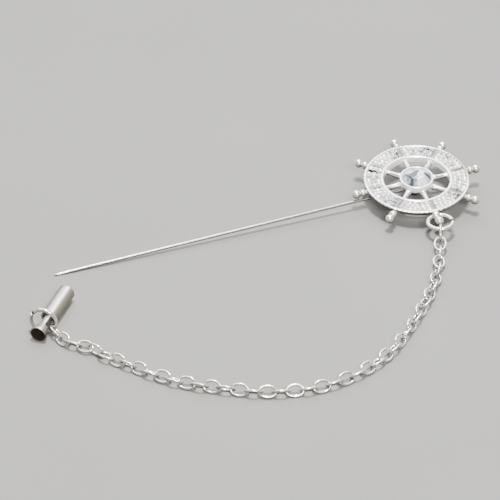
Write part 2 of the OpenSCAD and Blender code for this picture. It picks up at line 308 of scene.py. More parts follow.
# Object coordinates in mm, in the frame that the matrix lays on the table.
def objectPlace(matrix):
    back = matrix.inverted()
    coords = Signal.make("ShaderNodeTexCoord", {}, {}, out=3)
    return Signal.make("ShaderNodeMapping", {"vector_type": "POINT"}, {
        "Vector": coords, "Location": tuple(back.to_translation()), "Rotation": tuple(back.to_euler()),
        "Scale": (1 / mm, 1 / mm, 1 / mm)})


def split(vector, axis):
    return Signal.make("ShaderNodeSeparateXYZ", {}, {"Vector": vector}, out=axis)


def noise(vector, scale, detail, rough=0.5):
    return Signal.make("ShaderNodeTexNoise", {"noise_dimensions": "3D"}, {
        "Vector": vector, "Scale": scale, "Detail": detail, "Roughness": rough})


def stretched(vector, x, y, z):
    return Signal.make("ShaderNodeVectorMath", {"operation": "MULTIPLY"}, {0: vector, 1: (x, y, z)})


def ramp(value, stops):
    return Signal.make("ShaderNodeValToRGB", {"stops": stops}, {"Fac": value})


def step(value, low, high):  # 0 below low, 1 above high; a ramp takes nothing over 1
    return ramp(value, [(low, (0, 0, 0)), (high, (1, 1, 1))])


def between(value, low, high):
    return (value > low) * (value < high)


def blend(factor, first, second):
    ends = [(*colour, 1) if isinstance(colour, tuple) else colour for colour in (first, second)]
    return Signal.make("ShaderNodeMix", {"data_type": "RGBA"}, {0: factor, 6: ends[0], 7: ends[1]}, out=2)


def bump(height, strength, distance):
    return Signal.make("ShaderNodeBump", {}, {"Height": height, "Strength": strength, "Distance": distance})


def kept(name):  # a number that each point of the mesh keeps
    return Signal.make("ShaderNodeAttribute", {"attribute_name": name}, {}, out=2)


def upwards(low, high):  # 0 on the undersides, 1 where the piece looks up
    return step(kept("facing"), low, high)


def wheelPlace():  # place on the wheel, distance from its axis, degrees from its first spoke
    here = objectPlace(onWheel)
    x, y = split(here, 0), split(here, 1)
    radius = (x * x + y * y) ** 0.5
    return here, radius, y.math("ARCTAN2", x) * (180 / math.pi) - lie["phase"]


# Thin dark line across the rim, beside one spoke: a painted shadow of a narrow gap. Half its width is in mm
# times degrees.
gapShadowLook = {"radii": (8.15, 11.3), "at": 147.6, "half": 17.5, "colour": (0.012, 0.012, 0.01)}


def gapShadowAt(radius, angle):
    aside = (angle - gapShadowLook["at"]).math("ABSOLUTE") * radius
    return between(radius, *gapShadowLook["radii"]) * (aside < gapShadowLook["half"])


# Radii are from the wheel's axis, and heights from the plane of its spokes.
wheelLook = {
    "bright": (0.98, 0.98, 0.985), "warm": (0.94, 0.925, 0.9), "worn": (0.78, 0.75, 0.7),
    # painted shade on one side of the outer border, its radii and its middle
    "tarnishAndShade": (0.41, 0.36, 0.275), "shadedBorderRadii": (11.3, 12.2), "shadedBorderAt": 5.0,
    "back": (0.66, 0.64, 0.61), "backBelow": -0.35,
    "gapShade": (0.13, 0.13, 0.128),  # painted shade between the small stones
    "channelRadii": (8.22, 11.33), "channelHeights": (-0.2, 0.82), "channelMid": 9.775,
    # painted light: the inner walls of the rim and the collet, white and nearly matte
    "paintedLightWalls": (0.99, 0.985, 0.97), "rimWall": (7.3, 7.62), "rimWallBelow": 0.9,
    "colletWall": (2.9, 3.88), "colletHeights": (-0.85, 1.25),
    "paintedUnderShade": (0.15, 0.108, 0.062),
}


def wheelPlate():
    look = wheelLook
    material = startMaterial("wheelPlate", (0.86, 0.86, 0.87))
    here, radius, angle = wheelPlace()
    z = split(here, 2)
    clouds = noise(here, 0.35, 3.0)
    patches = noise(here, 1.7, 4.0, 0.6)
    grain = noise(here, 9.0, 3.0, 0.6)
    scratches = noise(stretched(here, 14.0, 1.2, 3.0), 1.0, 2.0)
    colour = blend(step(clouds, 0.35, 0.7), look["bright"], look["warm"])
    colour = blend(step(patches, 0.52, 0.82) * 0.3, colour, look["worn"])
    # The painted shade of the outer border, on one side of the wheel, fades from 15 to 35 degrees to both
    # sides.
    fromShadedBorder = (angle - look["shadedBorderAt"]).math("ABSOLUTE")
    tarnishAndShade = between(radius, *look["shadedBorderRadii"]) * (1 - step(fromShadedBorder * 0.02, 0.3, 0.7))
    colour = blend(tarnishAndShade * 0.95, colour, look["tarnishAndShade"])
    back = z < look["backBelow"]
    colour = blend(back * 0.5, colour, look["back"])
    # Painted shade darkens the channel between the stones, and most in the grooves at the spokes.
    channel = between(radius, *look["channelRadii"]) * between(z, *look["channelHeights"])
    # Degrees to the nearest spoke; 382.5 is a whole turn and half a field.
    fromSpoke = ((angle + 382.5).math("MODULO", 45.0) - 22.5).math("ABSOLUTE")
    middle = 1 - step((radius - look["channelMid"]).math("ABSOLUTE") * 0.5, 0.4, 0.72)
    groove = channel * middle * (1 - step(fromSpoke * 0.1, 0.12, 0.42))
    colour = blend(channel * 0.7 + groove * 0.22, colour, look["gapShade"])
    # The painted shadow line crosses the metal.
    gapShadow = gapShadowAt(radius, angle)
    colour = blend(gapShadow, colour, gapShadowLook["colour"])
    # Painted light on the inner walls of the rim and the collet: white and nearly matte, over the painted
    # shade.
    paintedLightWalls = (between(radius, *look["rimWall"]) * (z < look["rimWallBelow"])
             + between(radius, *look["colletWall"]) * between(z, *look["colletHeights"]))
    # Painted shade darkens the undersides.
    colour = blend(upwards(0.34, 0.8), look["paintedUnderShade"], colour)
    colour = blend(paintedLightWalls, colour, look["paintedLightWalls"])
    rough = 0.1 + clouds * 0.06 + patches * 0.08 + channel * 0.3 + back * 0.18 + gapShadow * 0.4
    normal = bump(grain * 0.5 + scratches * 0.5, 0.14, 0.03 * mm)
    return endMaterial(material, {"Base Color": colour, "Metallic": 0.75 - paintedLightWalls * 0.7, "Roughness": rough,
                                  "Normal": normal})


# Plated wire of the rings and of the chain. It keeps its plate colour where it faces up, and painted shade
# darkens it below.
ringLook = {"plate": (0.98, 0.975, 0.96), "tarnishAndShade": (0.64, 0.57, 0.47), "shadeRamp": (0.3, 0.8)}
chainLook = {"plate": (0.98, 0.96, 0.92), "tarnishAndShade": (0.55, 0.47, 0.36), "shadeRamp": (0.32, 0.84)}
wireLook = {"uneven": 0.92, "paintedUnderShade": (0.12, 0.095, 0.065), "sawn": (0.03, 0.026, 0.02)}


def platedWire(name, look):
    material = startMaterial(name, look["plate"])
    here = objectPlace(laid)
    clouds = noise(here, 0.5, 3.0)
    patches = noise(here, 2.6, 4.0, 0.6)
    grain = noise(here, 12.0, 3.0, 0.6)
    spots = step(noise(here, 1.1, 5.0, 0.7), 0.56, 0.72)
    colour = blend(clouds, look["plate"], tuple(c * wireLook["uneven"] for c in look["plate"]))
    colour = blend(spots * 0.45, colour, look["tarnishAndShade"])
    # Painted shade darkens the undersides.
    colour = blend(upwards(*look["shadeRamp"]), wireLook["paintedUnderShade"], colour)
    # The ends beside the slit are painted nearly black: painted shade of the gap.
    colour = blend(kept("sawn") * 0.97, colour, wireLook["sawn"])
    rough = 0.11 + patches * 0.12 + spots * 0.12
    normal = bump(grain, 0.1, 0.03 * mm)
    return endMaterial(material, {"Base Color": colour, "Metallic": 0.8, "Roughness": rough,
                                  "Normal": normal})


needleLook = {"light": (0.52, 0.51, 0.49), "dark": (0.42, 0.405, 0.38), "ground": (0.97, 0.965, 0.95),
              "spots": (0.5, 0.45, 0.38), "paintedUnderShade": (0.05, 0.04, 0.03)}


def needleSteel():
    material = startMaterial("needleSteel", (0.84, 0.83, 0.81))
    here = objectPlace(onWheel)
    clouds = noise(stretched(here, 0.12, 1.0, 1.0), 1.0, 3.0)
    drawn = noise(stretched(here, 0.25, 16.0, 16.0), 1.0, 3.0, 0.6)
    spots = step(noise(stretched(here, 0.3, 1.0, 1.0), 1.4, 4.0, 0.7), 0.6, 0.75)
    ground = 1 - step((split(here, 0) + lie["reach"]) * 0.1, 0.3, 0.36)  # the first 3 mm: ground steel, painted brighter, partly as a painted highlight
    colour = blend(clouds, needleLook["light"], needleLook["dark"])
    colour = blend(ground * 0.8, colour, needleLook["ground"])
    colour = blend(spots * 0.15, colour, needleLook["spots"])
    # Painted shade darkens the underside.
    colour = blend(upwards(0.32, 0.72), needleLook["paintedUnderShade"], colour)
    rough = 0.22 + drawn * 0.08 + spots * 0.1
    normal = bump(drawn, 0.08, 0.01 * mm)
    return endMaterial(material, {"Base Color": colour, "Metallic": 0.85, "Roughness": rough,
                                  "Normal": normal})


# Radii are from the cap's axis, and heights along it from its mouth.
capLook = {
    "highlightAndShade": [  # painted highlight and shade round the cap, from its left side to its right side
        (0.0, (0.2, 0.195, 0.19)), (0.42, (0.3, 0.295, 0.29)), (0.58, (0.46, 0.455, 0.45)),
        (0.68, (1.0, 1.0, 1.0)), (0.73, (1.0, 0.99, 0.98)), (0.8, (0.5, 0.465, 0.42)),
        (0.9, (0.3, 0.26, 0.21)), (0.955, (0.14, 0.115, 0.085)), (1.0, (0.05, 0.038, 0.028))],
    "worn": (0.62, 0.58, 0.52), "marks": (0.48, 0.43, 0.36), "paintedUnderShade": (0.1, 0.078, 0.055),
    # painted shade on the right side of the neck, and where the neck is
    "neck": (0.09, 0.065, 0.045), "neckHeights": (8.9, 12.85), "neckWithin": 1.38,
    # painted shade under the knob's lip
    "lip": (0.06, 0.045, 0.03), "lipFrom": 14.3,
    # painted shade inside the knob's hollow
    "hollow": (0.035, 0.028, 0.021), "hollowFrom": 13.9, "hollowWithin": 1.52,
}


def capPlate():
    look = capLook
    material = startMaterial("capPlate", (0.7, 0.68, 0.65))
    here = objectPlace(onCap)
    x, y, z = split(here, 0), split(here, 1), split(here, 2)
    lines = noise(stretched(here, 0.35, 0.35, 22.0), 1.0, 2.0, 0.6)
    clouds = noise(here, 0.7, 4.0, 0.6)
    marks = step(noise(stretched(here, 3.0, 3.0, 0.9), 1.0, 5.0, 0.7), 0.58, 0.7)
    radius = (x * x + y * y) ** 0.5 + 0.001
    side = y / radius * 0.5 + 0.5  # 0 on the left of the cap, 1 on the right
    hollow = (radius < look["hollowWithin"]) * (z > look["hollowFrom"])
    shadedUnderLip = (z > look["lipFrom"]) * step(x * 0.25 + 0.5, 0.36, 0.5)
    neck = between(z, *look["neckHeights"]) * (radius < look["neckWithin"])
    # A painted highlight streak runs along the cap, with painted shade on both sides.
    colour = blend(clouds * 0.35, ramp(side, look["highlightAndShade"]), look["worn"])
    colour = blend(marks * 0.3, colour, look["marks"])
    # Painted shade on the right side of the neck.
    colour = blend(neck * step(side, 0.66, 0.8) * 0.9, colour, look["neck"])
    # Painted shade darkens the undersides.
    colour = blend(upwards(0.28, 0.62), look["paintedUnderShade"], colour)
    # Painted shade under the knob's lip.
    colour = blend(shadedUnderLip * 0.95, colour, look["lip"])
    # Painted shade inside the knob's hollow.
    colour = blend(hollow * 0.97, colour, look["hollow"])
    rough = 0.3 + lines * 0.14 + marks * 0.1 + hollow * 0.4 + shadedUnderLip * 0.3
    normal = bump(lines * 0.8 + clouds * 0.2, 0.25, 0.02 * mm)
    return endMaterial(material, {"Base Color": colour, "Metallic": 0.75, "Roughness": rough,
                                  "Normal": normal, "Specular IOR Level": 0.2})


# Foiled stones: the light and dark cells are painted reflections, standing for the back facets that show
# through the front.
stoneLook = {
    "cells": 1.15,
    "lessSparkle": (97.9, -136.0, -51.4, 53.5),  # degrees from the first spoke, the middles of stretches with less painted sparkle
    "dim": [(0.04, 0.055, 0.08), (0.6, 0.65, 0.72)], "lit": [(0.25, 0.265, 0.29), (0.99, 0.995, 1.0)],
    "pink": (0.85, 0.72, 0.8), "green": (0.6, 0.76, 0.7),
}


def foiledStone():
    look = stoneLook
    material = startMaterial("foiledStone", (0.92, 0.94, 0.96))
    here, radius, angle = wheelPlace()
    cells = Signal.make("ShaderNodeTexVoronoi", {}, {
        "Vector": here, "Scale": look["cells"], "Randomness": 1.0}, out=1)
    shade, tint = split(cells, 0), split(cells, 1)
    litSparkle = step(noise(here, 0.3, 2.0), 0.3, 0.5)
    for spot in look["lessSparkle"]:  # fades from 6 to 13 degrees to both sides
        litSparkle = litSparkle * step((angle - spot).math("ABSOLUTE") * 0.05, 0.3, 0.65)
    dim = blend(step(shade, 0.4, 0.9), *look["dim"])
    lit = blend(step(shade, 0.06, 0.26), *look["lit"])
    colour = blend(litSparkle, dim, lit)
    colour = blend((tint > 0.86) * 0.25, colour, look["pink"])
    colour = blend((tint < 0.12) * 0.25, colour, look["green"])
    # The same painted shadow line crosses the stones.
    gapShadow = gapShadowAt(radius, angle)
    colour = blend(gapShadow, colour, gapShadowLook["colour"])
    return endMaterial(material, {"Base Color": colour, "Metallic": 0.3 + gapShadow * 0.7,
                                  "Roughness": 0.06 + shade * 0.14 + gapShadow * 0.5,
                                  "Coat Weight": (0.1 + litSparkle * 0.5) * (1 - gapShadow),
                                  "Coat Roughness": 0.03, "IOR": 1.6})


# Each cell takes one shade from the spot it lies on, as a facet does; these shades are painted glints and
# reflections.
# The ovals of painted light and dark are given as middle, reach and strength, to the right and away from the
# camera.
centreLook = {
    "cells": {"Scale": 1.25, "Randomness": 0.95},
    "dark": [((-0.8, -1.5), (1.2, 2.4), 1.0), ((2.6, 0.2), (0.9, 1.6), 0.6), ((0.1, 0.9), (0.6, 1.6), 0.6)],
    "light": [((1.2, -2.2), (1.5, 1.7), 1.0), ((-1.8, 1.6), (1.2, 1.0), 1.0), ((1.1, 1.6), (0.9, 0.8), 0.7)],
    "warmReflectionAt": ((1.2, -2.2), (1.9, 2.1), 0.6), "warm": (1.0, 0.965, 0.88),
    "shades": [(0.04, (0.06, 0.075, 0.09)), (0.2, (0.17, 0.2, 0.235)), (0.4, (0.4, 0.46, 0.53)),
               (0.58, (0.76, 0.82, 0.9)), (0.76, (1.0, 1.0, 1.0))],
}


def centreBrilliant():
    look = centreLook
    material = startMaterial("centreBrilliant", (0.92, 0.94, 0.96))
    here = objectPlace(onWheel)
    x, y = split(here, 0), split(here, 1)
    flat = Signal.make("ShaderNodeCombineXYZ", {}, {
        0: x * beside.x + y * beside.y, 1: x * ahead.x + y * ahead.y, 2: 0.0})
    cells = ({"voronoi_dimensions": "2D"}, {"Vector": flat, **look["cells"]})
    sparkle = split(Signal.make("ShaderNodeTexVoronoi", *cells, out=1), 0)
    spot = Signal.make("ShaderNodeTexVoronoi", *cells, out=2)
    across, deep = split(spot, 0), split(spot, 1)

    def oval(place, reach, strength):  # full at the place, 0 outside its oval
        first, second = (across - place[0]) / reach[0], (deep - place[1]) / reach[1]
        return (1 - step((first * first + second * second) * 0.5, 0.12, 0.6)) * strength

    def ovals(places):
        return oval(*places[0]) + oval(*places[1]) + oval(*places[2])

    # Painted glints and dark reflections, and a warm painted reflection to the right, nearer the camera.
    shade = sparkle * 0.62 + ovals(look["light"]) * 0.46 - ovals(look["dark"]) * 0.36
    colour = blend(oval(*look["warmReflectionAt"]), ramp(shade, look["shades"]), look["warm"])
    return endMaterial(material, {"Base Color": colour, "Metallic": 0.35, "Roughness": 0.05 + sparkle * 0.08,
                                  "Coat Weight": 0.25, "Coat Roughness": 0.02, "Specular IOR Level": 0.25})


floorLook = {"dark": (0.205, 0.204, 0.2), "light": (0.225, 0.224, 0.22)}


def paleFloor():
    material = startMaterial("paleFloor", (0.8, 0.79, 0.77))
    here = objectPlace(laid)
    wide = noise(here, 0.02, 2.0)
    fine = noise(here, 3.0, 3.0)
    colour = blend(wide, floorLook["dark"], floorLook["light"])
    return endMaterial(material, {"Base Color": colour, "Roughness": 0.85 + fine * 0.1,
                                  "Specular IOR Level": 0.2, "Normal": bump(fine, 0.05, 0.03 * mm)})


wheelMetal = wheelPlate()
ringMetal = platedWire("ringPlate", ringLook)
chainMetal = platedWire("chainPlate", chainLook)
needleMetal = needleSteel()
capMetal = capPlate()
rimStoneLook = foiledStone()
centreStoneLook = centreBrilliant()
print("finishes made")


# Rim with its borders, the beds of the small stones and the grooves between them.
rimShape = {
    "outer": 12.05, "inner": 7.5, "top": 1.05, "back": -0.55, "border": 0.7, "round": 0.24, "floor": 0.6,
    "edge": 0.1,                                            # inner edge of the back
    "recess": [(8.3, 0), (8.45, 0.13), (10.25, 0.13), (10.4, 0)],   # round the back, radius and depth
    "skirt": [(11.1, -0.55), (11.22, -0.5), (12.0, 0.6)],   # outer side of the rim
    "scallops": 68, "scallop": 1.006, "scallopLow": 0.985,
    "scallopShares": (0.3, 0.1),                            # two steps, broad and narrow
    "crest": (11.65, 0.55),                                 # the scalloped lip starts here
    "bed": 0.8, "bedFoot": 0.2, "bedInto": 0.05, "bedBevel": 0.06, "groove": 0.3,
}
channelOut = rimShape["outer"] - rimShape["border"]
channelIn = rimShape["inner"] + rimShape["border"]
rowMid = (channelOut + channelIn) / 2
rounding = rimShape["round"]
lip = rimShape["top"] - rounding
rimOutline = (
    [(rimShape["inner"] + rimShape["edge"], rimShape["back"])]
    + raised(rimShape["recess"], rimShape["back"]) + rimShape["skirt"]
    + arc(rimShape["outer"] - rounding, lip, rounding, 0, 90, 5)
    + arc(channelOut + rounding, lip, rounding, 90, 180, 5)
    + [(channelOut, rimShape["floor"]), (channelIn, rimShape["floor"])]
    + arc(channelIn - rounding, lip, rounding, 0, 90, 5)
    + arc(rimShape["inner"] + rounding, lip, rounding, 90, 180, 5)
    + [(rimShape["inner"], rimShape["back"] + rimShape["edge"])]
)
rim = lathe("wheelRim", rimOutline, steps=rimShape["scallops"] * 4, closed=True)
scallopTurn = 360 / rimShape["scallops"]


def betweenCrests(point, share):  # the outer lip's points in the dips between its scallops' crests
    angle = math.degrees(math.atan2(point.y, point.x)) % scallopTurn
    return (math.hypot(point.x, point.y) > rimShape["crest"][0] and point.z > rimShape["crest"][1]
            and abs(angle - scallopTurn / 2) < scallopTurn * share)


for share in rimShape["scallopShares"]:
    pickVerts(rim, lambda point: betweenCrests(point, share))
    bpy.ops.transform.resize(value=(1 / rimShape["scallop"], 1 / rimShape["scallop"], rimShape["scallopLow"]),
                             center_override=(0, 0, 0))
    endEdit()

halfGroove = math.degrees(math.asin(rimShape["groove"] / 2 / rowMid))
bedIn, bedOut = channelIn - rimShape["bedInto"], channelOut + rimShape["bedInto"]
bedOutline = [(bedIn, rimShape["bedFoot"]), (bedIn, rimShape["bed"]), (bedOut, rimShape["bed"]),
              (bedOut, rimShape["bedFoot"])]
bed = lathe("bed", bedOutline, steps=24, angle=45 - 2 * halfGroove, closed=True)
editAll(bed)
bpy.ops.mesh.fill_holes(sides=0)
bpy.ops.mesh.normals_make_consistent(inside=False)
endEdit()
bevelled(bed, rimShape["bedBevel"], segments=2)
beds = [copyAt(bed, turn(lie["phase"] + 45 * k + halfGroove, "Z"), "bed") for k in range(8)]
dropped(bed)
rim = settled(joined([rim] + beds, "wheelRim"), onWheel)
finished(rim, wheelMetal, "wheel_plate", "wheel")
print("rim made")


# Facets of the stones: slopes and places against those of the main facets.
cut = {"table": 0.56, "star": 0.62, "starOut": 1.03, "edge": 0.995, "girdle": 1.16, "back": 1.05}


def cutTo(azimuth, slope, reach, height):  # grinds one facet on the whole stone, like a lapidary
    bpy.ops.mesh.select_all(action="SELECT")
    bpy.ops.mesh.bisect(plane_co=(reach * cosd(azimuth), reach * sind(azimuth), height),
                        plane_no=(sind(slope) * cosd(azimuth), sind(slope) * sind(azimuth), cosd(slope)),
                        use_fill=True, clear_outer=True)


# A faceted round stone. The lower edge of its girdle is at height 0.
def roundCut(name, radius, shape):
    crown, pavilion, girdle, sides = shape["crown"], shape["pavilion"], shape["band"], shape["sides"]
    bpy.ops.mesh.primitive_cylinder_add(vertices=sides * 2, radius=radius, depth=pavilion + girdle + crown,
                                        location=(0, 0, (girdle + crown - pavilion) / 2))
    stone = named(name)
    bpy.ops.object.transform_apply(location=True, rotation=True, scale=True)
    editAll(stone)
    facet = 360 / sides
    apothem = radius * cut["table"] * cosd(facet / 2)
    crownSlope = math.degrees(math.atan2(crown, radius - apothem))
    backSlope = math.degrees(math.atan2(pavilion, radius - radius * shape["culet"]))
    for k in range(sides):
        cutTo(k * facet, crownSlope, radius, girdle)
        cutTo(k * facet, 180 - backSlope, radius, 0)
    for k in range(sides):
        cutTo((k + 0.5) * facet, crownSlope * cut["star"], apothem * cut["starOut"], girdle + crown)
    for k in range(2 * sides):
        azimuth = (k + 0.5) * facet / 2
        cutTo(azimuth, crownSlope * cut["girdle"], radius * cut["edge"], girdle)
        if shape["fineBack"]:
            cutTo(azimuth, 180 - backSlope * cut["back"], radius * cut["edge"], 0)
    endEdit()
    return tidy(stone, smooth=0)


# Small stones and the beads that hold them.
pave = {
    "rows": 3, "inner": 5,                      # rows, and stones in the innermost one of each field
    "width": 1.0, "crown": 0.26, "pavilion": 0.14, "band": 0.03, "sides": 6, "culet": 0.5, "fineBack": False,
    "girdle": 0.84,                             # height of the stones' girdles
    "groove": 0.9, "sourceWidth": 0.92, "bite": 0.1, "closer": 0.01,    # spacing, as in the part's source
    "lean": 3, "spin": 11,                      # no two stones sit quite alike
    "bead": 0.19, "beadCut": -0.06, "beadUp": 0.08, "beadInset": 0.1,
}
rowStep = (channelOut - channelIn - pave["sourceWidth"]) / (pave["rows"] - 1) - pave["closer"]


def fieldSpan(r):
    return 45 - 2 * math.degrees(math.asin((pave["groove"] + pave["sourceWidth"] + pave["bite"]) / 2 / r))


smallStone = roundCut("smallStone", pave["width"] / 2, pave)
bpy.ops.mesh.primitive_uv_sphere_add(segments=10, ring_count=6, radius=pave["bead"])
bead = named("settingBead")
editAll(bead)
bpy.ops.mesh.bisect(plane_co=(0, 0, pave["beadCut"]), plane_no=(0, 0, -1), clear_outer=True, use_fill=False)
endEdit()
tidy(bead, smooth=60)
stones = []
beads = []
for field in range(8):
    middle = lie["phase"] + 45 * (field + 0.5)
    for row in range(pave["rows"]):
        r = rowMid + (row - 1) * rowStep
        count = pave["inner"] + row
        for i in range(count):
            a = middle + fieldSpan(r) * (i / (count - 1) - 0.5)
            lean = (turn(pave["lean"] * sind(a * 37 + row * 91), "X")
                    @ turn(pave["lean"] * cosd(a * 53 + row * 17), "Y"))
            stones.append(copyAt(smallStone, turn(a, "Z") @ shift(r, 0, pave["girdle"])
                                 @ turn(pave["spin"] * (i + 2 * row), "Z") @ lean, "smallStone"))
    for seam in range(pave["rows"] + 1):  # the beads stand between the rows and along both borders
        r = rowMid + (seam - 1.5) * rowStep
        r = min(max(r, channelIn + pave["beadInset"]), channelOut - pave["beadInset"])
        atBorder = seam in (0, pave["rows"])
        count = pave["inner"] + seam - (1 if atBorder else 0)
        span = fieldSpan(r) * (1 - 1 / count if atBorder else 1)
        for i in range(count):
            a = middle + span * (i / (count - 1) - 0.5)
            beads.append(copyAt(bead, turn(a, "Z") @ shift(r, 0, rimShape["bed"] + pave["beadUp"]),
                                "settingBead"))
dropped(smallStone)
dropped(bead)
rimStones = settled(joined(stones, "rimStones"), onWheel)
finished(rimStones, rimStoneLook, "clear_stone", "rim_stones")
settingBeads = settled(joined(beads, "settingBeads"), onWheel)
finished(settingBeads, wheelMetal, "wheel_plate")
print("small stones made", len(stones), len(beads))


# Hub: collet, centre stone, boss on the back with the needle's socket.
hub = {
    "collet": [(0, -0.9), (3.0, -0.9), (3.12, -0.85), (3.6, -0.2), (3.72, 0.2), (3.82, 0.75)],
    "lip": (3.71, 1.19, 0.14), "innerLip": (3.56, 1.23, 0.11),  # middles of the roundings, and their radii
    "cup": [(3.45, 0.95), (0.1, -0.45), (0, -0.45)],
    "stone": 3.35, "girdle": 1.05, "crown": 1.05, "pavilion": 1.25, "band": 0.15, "sides": 8, "culet": 0.05,
    "fineBack": True, "stoneTurn": 12,
    "bossShift": 1.3,                                           # off the wheel's middle, to its far side
    "boss": [(0, -0.8), (1.9, -0.8), (1.9, -0.95), (1.78, -1.05), (1.9, -1.15), (1.9, -2.15)],
    "bossRound": (1.75, -2.2, 0.15), "bossLow": [(1.3, -2.85), (1.2, -3.05)], "foot": 1.2, "footBevel": 0.12,
    "solderAt": -1.3,
    "solder": [(0.35, 0), (0.86, 0), (0.78, 0.12), (0.62, 0.26), (0.52, 0.42), (0.44, 0.5), (0.35, 0.5)],
}
colletOutline = hub["collet"] + arc(*hub["lip"], 0, 90, 5) + arc(*hub["innerLip"], 90, 180, 4) + hub["cup"]
collet = settled(lathe("collet", colletOutline, steps=96), onWheel)
finished(collet, wheelMetal, "wheel_plate")
centreStone = roundCut("centreStone", hub["stone"], hub)
centreStone = settled(centreStone, onWheel @ shift(0, 0, hub["girdle"])
                      @ turn(lie["phase"] + hub["stoneTurn"], "Z"))
finished(centreStone, centreStoneLook, "clear_stone", "centre_stone")

# The foot's lowest edge just reaches the table.
tiltSin = math.sqrt(1 - tiltCos * tiltCos)
footRise = hub["bossShift"] * sind(lie["roll"]) * cosd(lie["pitch"])
bossDepth = (wheelZ + footRise - hub["foot"] * tiltSin) / tiltCos
bossOutline = (
    hub["boss"] + arc(*hub["bossRound"], 0, -60, 4) + hub["bossLow"]
    + [(hub["foot"], hub["footBevel"] - bossDepth), (hub["foot"] - hub["footBevel"], -bossDepth),
       (0, -bossDepth)]
)
boss = settled(lathe("backBoss", bossOutline, steps=64), onWheel @ shift(0, hub["bossShift"], 0))
finished(boss, wheelMetal, "wheel_plate")
solder = lathe("needleSolder", hub["solder"], steps=32, closed=True)
solder = settled(solder, onWheel @ shift(hub["solderAt"], 0, -lie["needleDrop"]) @ turn(-90, "Y"))
finished(solder, wheelMetal, "wheel_plate")
print("hub made")


# Spokes and handles, turned shapes. Heights are distances from the wheel's middle.
turned = {
    "spokeRoot": [(0, 3.4), (0.5, 3.4)], "bead": 0.75, "beadAt": 4.35, "beadNecks": (0.47, 0.6),
    "spokeSide": [(0.6, 5.2), (0.56, 5.8), (0.52, 6.4), (0.52, 7.0), (0.62, 7.2), (0.66, 7.4), (0.66, 7.8),
                  (0, 7.8)],
    "handleRoot": [(0, 11.0), (0.55, 11.0), (0.57, 11.96), (0.66, 12.04), (0.66, 12.12), (0.56, 12.2)],
    "neck": 0.42, "bulge": 0.9, "bulgeFrom": 12.2, "bulgeLength": 1.35,
    "handleNeck": [(0.42, 13.56), (0.44, 13.6)], "ball": 1.0, "ballAt": 14.4, "ballNeck": 0.55,
    "lugSpoke": 6, "lugAt": 12.25, "lugLow": -0.2, "lug": 1.125, "lugHole": 0.72, "lugBevel": 0.06,
    "lugStem": [(0, 13.05), (0.48, 13.05), (0.46, 13.3), (0.52, 13.5)],
}


def ballPoints(middle, r, fromR, toR, count):
    start = math.degrees(math.asin(fromR / r))
    end = 180 - math.degrees(math.asin(toR / r))
    angles = [start + (end - start) * i / (count - 1) for i in range(count)]
    return [(r * sind(angle), middle - r * cosd(angle)) for angle in angles]


spokeBead = ballPoints(turned["beadAt"], turned["bead"], *turned["beadNecks"], count=13)
spoke = lathe("spoke", turned["spokeRoot"] + spokeBead + turned["spokeSide"], steps=24)
swell = turned["bulge"] - turned["neck"]
bulge = [(turned["neck"] + swell * sind(180 * t) ** 0.7, turned["bulgeFrom"] + turned["bulgeLength"] * t)
         for t in [i / 12 for i in range(1, 12)]]
ball = ballPoints(turned["ballAt"], turned["ball"], turned["ballNeck"], 0, count=17)
handle = lathe("handle", turned["handleRoot"] + bulge + turned["handleNeck"] + ball, steps=24)
spokes = [copyAt(spoke, onSpoke(k), "spoke") for k in range(8)]
handles = [copyAt(handle, onSpoke(k), "handle") for k in range(8) if k != turned["lugSpoke"]]
dropped(spoke)
dropped(handle)

# The lowest handle has a pierced lug in place of its bulge.
bpy.ops.mesh.primitive_uv_sphere_add(segments=40, ring_count=24, radius=turned["lug"],
                                     location=(0, 0, turned["lugAt"]))
lugBody = named("chainLug")
bpy.ops.object.transform_apply(location=True, rotation=True, scale=True)
bpy.ops.mesh.primitive_cylinder_add(vertices=40, radius=turned["lugHole"], depth=4,
                                    location=(0, 0, turned["lugAt"]), rotation=(math.radians(90), 0, 0))
drill = named("drill")
hole = lugBody.modifiers.new("hole", "BOOLEAN")
hole.operation = "DIFFERENCE"
hole.object = drill
only(lugBody)
bpy.ops.object.modifier_apply(modifier="hole")
dropped(drill)
bevelled(lugBody, turned["lugBevel"], segments=3, limit=50)
lugBody.data.transform(shift(-turned["lugLow"], 0, 0))
lug = joined([lugBody, lathe("lugStem", turned["lugStem"] + ball, steps=24)], "chainLug")
lug.data.transform(onSpoke(turned["lugSpoke"]))
only(lug)
bpy.ops.object.shade_smooth_by_angle(angle=math.radians(40))
finished(settled(joined(spokes, "spokes"), onWheel), wheelMetal, "wheel_plate")
finished(settled(joined(handles, "handles"), onWheel), wheelMetal, "wheel_plate")
finished(settled(lug, onWheel), wheelMetal, "wheel_plate")
print("spokes and handles made")


# Needle, sharpened at one end and a little thicker at the wheel.
pin = {
    "r": 0.35, "root": 0.425, "rootAt": 69.5, "end": 0.7,
    "point": [(0, 0), (0.09, 0), (0.14, 0.06), (0.2, 0.7), (0.26, 1.5), (0.31, 2.4)],
    "rings": 8, "ringEvery": 8,     # points along the wire
}
needleEnd = lie["reach"] + pin["end"]
needleOutline = (
    pin["point"] + [(pin["r"], lie["taper"] + pin["ringEvery"] * i) for i in range(pin["rings"] + 1)]
    + [(pin["r"], pin["rootAt"]), (pin["root"], needleEnd), (0, needleEnd)]
)
needle = settled(lathe("needleWire", needleOutline, steps=32),
                 onWheel @ shift(-lie["reach"], 0, -lie["needleDrop"]) @ turn(90, "Y"))
finished(needle, needleMetal, "needle_steel", "needle")
print("needle made")


